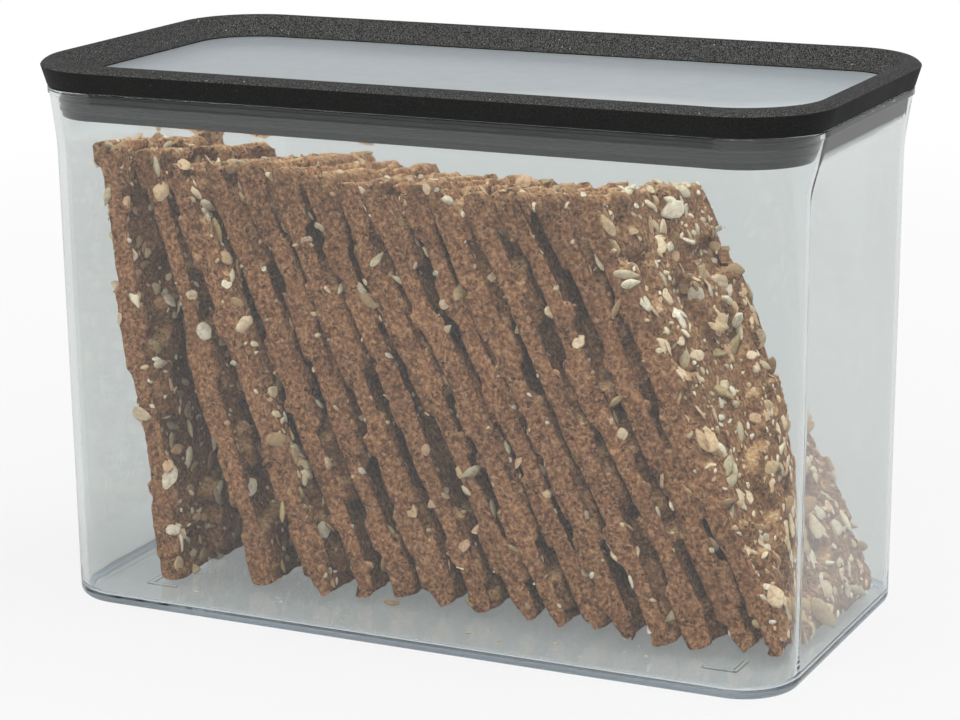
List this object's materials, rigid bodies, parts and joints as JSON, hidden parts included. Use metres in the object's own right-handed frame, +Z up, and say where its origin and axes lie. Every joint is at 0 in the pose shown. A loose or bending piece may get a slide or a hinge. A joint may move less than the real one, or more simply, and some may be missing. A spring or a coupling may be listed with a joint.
{
  "type": "cracker box",
  "caption": "Clear upright storage box with a flared mouth and a push-on lid with a black rim and clear window, holding a leaning row of seeded crispbread.",
  "frame": {"origin": "middle of the base, on the surface that the box stands on", "axes": "+X along the length to the right in the picture, +Y from the front to the back, +Z up"},
  "size_m": [0.2038, 0.1036, 0.138],
  "materials": {
    "clear_plastic": "clear moulded plastic, polished",
    "window_satin": "clear moulded plastic with a hazy, satin surface",
    "rim_black": "soft-touch matt, fine speckle",
    "plug_charcoal": "satin moulded",
    "seal_charcoal": "satin",
    "crispbread": "porous baked crumb with seeds and flakes"
  },
  "bodies": {
    "box": {"box_body": "clear_plastic", "cracker_01": "crispbread", "cracker_02": "crispbread", "cracker_03": "crispbread", "cracker_04": "crispbread", "cracker_05": "crispbread", "cracker_06": "crispbread", "cracker_07": "crispbread", "cracker_08": "crispbread", "cracker_09": "crispbread", "cracker_10": "crispbread", "cracker_11": "crispbread", "cracker_12": "crispbread", "cracker_13": "crispbread", "cracker_14": "crispbread", "cracker_15": "crispbread"},
    "lid": {"lid_window": "window_satin", "lid_rim": "rim_black", "lid_plug_ring": "plug_charcoal", "lid_seal": "seal_charcoal"}
  },
  "joints": [
    {"name": "lid_lift", "type": "slide", "parent": "box", "child": "lid", "axis": [0, 0, 1], "range_m": [0, 0.15]}
  ]
}
